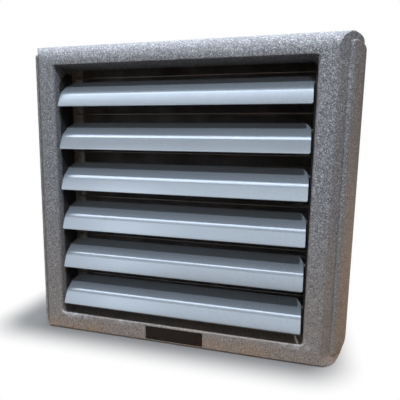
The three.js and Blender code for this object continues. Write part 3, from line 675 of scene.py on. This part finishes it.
for i, z in enumerate((110, 220, 330, 440)):
    x = CX1 + 2.1
    path = [(x, 120, z), (x + 3, 120, z)] + [(x + 3 + 16 * math.sin(math.radians(a)) * 1.0, 120, z + 19 - 19 * math.cos(math.radians(a))) for a in range(10, 171, 10)] + [(x + 3, 120, z + 38), (x, 120, z + 38)]
    piece(raw(f"bend_{i + 1}", *tube(path, 4.8, 20)), COPPER, stands=[f"return_bend_{i + 1}"])

# ---------------------------------------------------------------- fan
prof = [(0, 303.3), (56.5, 303.3), (58, 304.8), (58, 316), (65, 316), (66, 317), (66, 319.2), (65.2, 320), (0, 320)]
stator = [raw("s", *turned(prof, 72, 0, FZ))]
for k in range(24):
    a = math.radians(15 * k + 7.5)
    rib = soften(raw("r", *prismZ([(-1.1, 305.5), (1.1, 305.5), (1.1, 316.4), (-1.1, 316.4)], 57.2, 61.6)), 0.4, 2)
    rib.data.transform(Matrix.Translation(Vector((0, 0, FZ / 1000))) @ Matrix.Rotation(a, 4, "Y"))
    stator.append(rib)
piece(join("motor_body", stator), MOTOR, stands=["motor_stator"])

hub = [(0, 244), (38, 244), (52, 245.4), (57.5, 247.6), (60.6, 250.8), (62, 255), (62, 299), (61, 300), (0, 300)]
rotor = [raw("hub", *turned(hub, 96, 0, FZ))]
for k in range(7):
    rings = []
    for u in np.linspace(0, 1, 26):
        r = 56 + (202 - 56) * u
        chord, pitch = 0.85 + 0.55 * u, math.radians(38 - 16 * u)
        shrink = 1 if u < 0.9 else math.sqrt(max(0.05, 1 - ((u - 0.9) / 0.1) ** 2 * 0.5))
        ring = []
        for t in np.linspace(0, 2 * math.pi, 36, endpoint=False):
            a0 = 40 * math.cos(t) * shrink
            b0 = 2.1 * math.sin(t) * (0.55 + 0.45 * (1 - math.cos(t)) * 0.5)
            a, b = a0 * chord, b0 + 0.0022 * a0 * a0 * (1 - 0.4 * u)
            along, ax = a * math.cos(pitch) - b * math.sin(pitch), a * math.sin(pitch) + b * math.cos(pitch)
            ang = (along + 34 * u * u) / r + 2 * math.pi * k / 7
            ring.append((r * math.sin(ang), ax + 268, r * math.cos(ang) + FZ))
        rings.append(ring)
    rotor.append(raw("bl", *loft(rings)))
piece(join("fan_wheel", rotor), BLADE, "fan", ["fan_rotor"], sharp=45)

wires = [(80, 324.8), (104, 332.6), (120, 333.2), (136, 333.6), (152, 332.9), (168, 331.6), (182, 328.8), (196, 325.4), (209, 319.8), (222, 313.6)]
guard = []
for r, y in wires:
    guard.append(raw("w", *turned([(r + 1.5 * math.cos(math.radians(a)), y + 1.5 * math.sin(math.radians(a))) for a in range(0, 360, 36)], 120, 0, FZ, closed=True)))
for k in range(8):
    a = k * math.pi / 4 + math.pi / 8
    path = smooth_path([(0, 322, 66), (0, 325, 80), (0, 331.5, 94), (0, 333.2, 124), (0, 333.2, 150), (0, 330.2, 176), (0, 323.2, 202), (0, 312.5, 224), (0, 303, 234)], 5)
    g = raw("w", *tube(path, 2.0, 12))
    g.data.transform(Matrix.Translation(Vector((0, 0, FZ / 1000))) @ Matrix.Translation(Vector((0, 0, 0))) @ Matrix.Rotation(a, 4, "Y"))
    guard.append(g)
guard.append(soften(raw("p", *turned([(30, 320.35), (74, 320.35), (74, 323.4), (30, 323.4)], 80, 0, FZ, closed=True)), 0.5, 2))
for k in range(4):
    tab = raw("tab", *prismY(rrect(-11, 11, 228, 256, 4.5, 5), 300.35, 302.55))
    cut(tab, raw("h", *turned([(0, 290), (2.9, 290), (2.9, 310), (0, 310)], 24, 0, 247)))
    soften(tab, 0.4, 2)
    tab.data.transform(Matrix.Translation(Vector((0, 0, FZ / 1000))) @ Matrix.Rotation(k * math.pi / 2 + math.pi / 8, 4, "Y"))
    guard.append(tab)
piece(join("wire_guard", guard), GUARD, stands=["fan_guard"], sharp=45)


def screw(name, x, y, z, r=6.0, h=3.4):
    """Pan head facing +Y with a cross recess."""
    prof = [(0, 0), (r, 0)] + [(r * math.cos(math.radians(a)) * 0.55 + r * 0.45 * (1 - a / 90), h * math.sin(math.radians(a))) for a in range(15, 91, 15)]
    v, f = turned(prof, 32)
    head = raw(name, [(a + x, b + y, c + z) for a, b, c in v], f)
    for w, l in ((r * 0.13, r * 0.52), (r * 0.52, r * 0.13)):
        cut(head, raw("x", *prismY([(x - w, z - l), (x + w, z - l), (x + w, z + l), (x - w, z + l)], y + h * 0.45, y + h + 2)))
    return head


for k in range(4):
    a = k * math.pi / 2 + math.pi / 8
    piece(screw(f"screw_{k + 1}", 247 * math.sin(a), 302.9, FZ + 247 * math.cos(a), 6.0, 3.05), STEEL, stands=[f"guard_screw_{k + 1}"])

# ---------------------------------------------------------------- electrical
TB = (206, 300, 52, 142)
shell = raw("wiring_box", *prismY(rrect(TB[0], TB[1], TB[2], TB[3], 6, 8), 300.3, 333))
cut(shell, raw("c", *prismY(rrect(TB[0] + 3, TB[1] - 3, TB[2] + 3, TB[3] - 3, 4, 6), 303.5, 340)))
piece(soften(shell, 0.6, 2), BOX, stands=["terminal_box"])
lid = soften(raw("lid", *prismY(rrect(TB[0] - 1, TB[1] + 1, TB[2] - 1, TB[3] + 1, 6, 8), 333.3, 343.6)), 2.0, 4, 50)
corners = [(x, z) for x in (TB[0] + 8, TB[1] - 8) for z in (TB[2] + 8, TB[3] - 8)]
for x, z in corners:
    cut(lid, raw("c", *turned([(0, 341.4), (5, 341.4), (5, 350), (0, 350)], 28, x, z)))
parts = [lid] + [screw("ls", x, 341.3, z, 4.0, 2.6) for x, z in corners]
parts.append(soften(raw("pad", *prismY(rrect(TB[0] + 20, TB[1] - 20, TB[2] + 22, TB[3] - 22, 4, 6), 343.2, 344.8)), 0.7, 3))
piece(join("wiring_box_lid", parts), BOX, stands=["terminal_lid"])
gx = (TB[0] + TB[1]) / 2 + 14
hexa = [(10.5 * math.cos(math.radians(60 * k)), 10.5 * math.sin(math.radians(60 * k))) for k in range(6)]
v, f = loft([[(a, y, b) for a, b in hexa] for y in (0, 6)])
g1 = soften(raw("g", swap(v, "-z", (gx, 317, TB[2] - 0.3)), f), 0.6, 2)
v, f = turned([(0, 5.8), (8, 5.8), (8, 10), (9.6, 10.3), (9.6, 18.6), (9.1, 20), (8.2, 22), (7.5, 23), (5.2, 23), (5, 22.6), (5, 12), (0, 12)], 40)
g2 = raw("g2", swap(v, "-z", (gx, 317, TB[2] - 0.3)), f)
piece(join("gland", [g1, g2]), MOTOR, stands=["cable_gland"])
A = math.radians(128.5)
ld = lambda r, y: (r * math.sin(A), y, FZ + r * math.cos(A))
route = smooth_path([ld(58.6, 310), ld(70, 310), ld(110, 309), ld(170, 307), ld(215, 305), ld(236, 304.5), ld(256, 304.8), (TB[0] - 3.4, 308, 138), (TB[0] - 0.6, 308, 138)], 10)
piece(raw("motor_cable", *tube(route, 2.35, 14)), RUBBER, stands=["motor_lead"])

# ---------------------------------------------------------------- camera, floor and light
cam = bpy.data.cameras.new("camera"); co = bpy.data.objects.new("camera", cam); sc.collection.objects.link(co)
cam.sensor_width = 36; cam.lens = 34.254
r = Vector((0.96672913, 0.25530936, 0.01587173)); u = Vector((-0.0516908, 0.13420687, 0.98960425)); f = Vector((-0.25052513, 0.95749969, -0.14293883))
co.matrix_world = Matrix(((r.x, u.x, -f.x, 0.23858), (r.y, u.y, -f.y, -0.87647), (r.z, u.z, -f.z, 0.41287), (0, 0, 0, 1)))
sc.camera = co

w = bpy.data.worlds.new("studio"); sc.world = w; w.use_nodes = True
nt = w.node_tree; nt.nodes.clear()
out = nt.nodes.new("ShaderNodeOutputWorld")
tc = nt.nodes.new("ShaderNodeTexCoord")
zz = N(nt, "ShaderNodeSeparateXYZ", {0: tc.outputs["Generated"]})
dome = ramp(nt, maprange(nt, zz.outputs["Z"], -0.4, 1.0, 0.0, 1.0, False), [(0.0, (0.52, 0.385, 0.28)), (0.3, (0.65, 0.54, 0.43)), (0.65, (0.86, 0.84, 0.80)), (1.0, (1.0, 1.0, 1.0))])
side = [maprange(nt, zz.outputs["X"], -1.0, 1.0, a, b, False) for a, b in ((1.3, 0.5), (1.31, 0.46), (1.34, 0.36))]
dome = mixc(nt, 1.0, dome, N(nt, "ShaderNodeCombineColor", dict(enumerate(side))).outputs[0], "MULTIPLY")
dome = mixc(nt, 1.0, dome, (1.0, 0.95, 0.87), "MULTIPLY")
soft = N(nt, "ShaderNodeBackground", {"Color": dome, "Strength": 0.245})
plain = N(nt, "ShaderNodeBackground", {"Color": (1, 1, 1, 1), "Strength": 1.0})
lp = nt.nodes.new("ShaderNodeLightPath")
mx = N(nt, "ShaderNodeMixShader", {0: lp.outputs["Is Camera Ray"], 1: soft.outputs[0], 2: plain.outputs[0]})
nt.links.new(mx.outputs[0], out.inputs[0])

bpy.ops.mesh.primitive_plane_add(size=14); floor = bpy.context.object; floor.name = "floor"
# the floor is a grey lit surface near the object's footprint (centred 4 cm to the left) that fades to white glow within
# about 13 cm: a painted shadow halo around the base
fm, nt, b, co2 = new_material("floor_painted_halo")
nt.links.new(ramp(nt, noise(nt, co2, 3.0, 2), [(0.3, (0.225, 0.225, 0.225)), (0.7, (0.24, 0.24, 0.24))]), b.inputs["Base Color"])
fx_ = N(nt, "ShaderNodeVectorMath", {0: co2, 1: (0.04, 0.0, 0.0)}, operation="ADD").outputs[0]
fx_ = N(nt, "ShaderNodeVectorMath", {0: fx_}, operation="ABSOLUTE").outputs[0]
fx_ = N(nt, "ShaderNodeVectorMath", {0: fx_, 1: (0.292, 0.14, 0.0)}, operation="SUBTRACT").outputs[0]
fx_ = N(nt, "ShaderNodeVectorMath", {0: fx_, 1: (0.0, 0.0, 0.0)}, operation="MAXIMUM").outputs[0]
halo_reach = N(nt, "ShaderNodeVectorMath", {0: fx_}, operation="LENGTH").outputs["Value"]
glow = N(nt, "ShaderNodeEmission", {"Color": (1, 1, 1, 1), "Strength": 1.0})
both = N(nt, "ShaderNodeMixShader", {0: maprange(nt, halo_reach, 0.028, 0.13, 0.0, 1.0), 1: b.outputs[0], 2: glow.outputs[0]})
nt.links.new(both.outputs[0], [n for n in nt.nodes if n.type == "OUTPUT_MATERIAL"][0].inputs[0])
b.inputs["Roughness"].default_value = 0.9
b.inputs["Specular IOR Level"].default_value = 0.1
floor.data.materials.append(fm)
floor.visible_diffuse = False; floor.visible_glossy = False    # the object takes its low light from the warm lower half of the dome


def lamp(name, way, dist, size, watts, colour, size_y=None, gloss=True, level=False):
    l = bpy.data.lights.new(name, "AREA"); l.energy = watts; l.color = colour
    l.shape = "RECTANGLE"; l.size = size; l.size_y = size_y or size
    o = bpy.data.objects.new(name, l); sc.collection.objects.link(o)
    way = Vector(way).normalized()
    o.location = Vector((0, 0, 0.3)) + way * dist
    o.rotation_mode = "QUATERNION"; o.rotation_quaternion = way.to_track_quat("Z", "Y")
    if level:      # the long side runs along X
        ax = (Vector((1, 0, 0)) - way * way.x).normalized()
        o.rotation_quaternion = Matrix((ax, way.cross(ax), way)).transposed().to_quaternion()
    o.visible_camera = False; o.visible_glossy = gloss
    return o


lamp("key", (0.30, -0.82, 1.0), 2.6, 0.14, 45, (0.83, 0.90, 1.0), gloss=False)
lamp("strip", (-0.25, -0.42, 0.93), 2.6, 3.2, 25, (0.88, 0.92, 1.0), 0.8, level=True)
lamp("panel", (-0.06, -0.84, 0.40), 2.8, 3.0, 10.5, (0.90, 0.94, 1.0), 1.2, level=True)
lamp("front_left", (-0.7, -0.9, 0.25), 2.8, 1.5, 5, (0.87, 0.92, 1.0))
lamp("overhead", (-0.05, 0.1, 1.0), 2.2, 1.2, 78, (0.88, 0.94, 1.0))
lamp("warm_low", (1.0, 0.22, -0.2), 0.85, 0.35, 1.7, (1.0, 0.64, 0.38))
lamp("rear_fill", (-0.35, 1.0, 0.45), 2.6, 1.6, 22, (0.95, 0.97, 1.0))
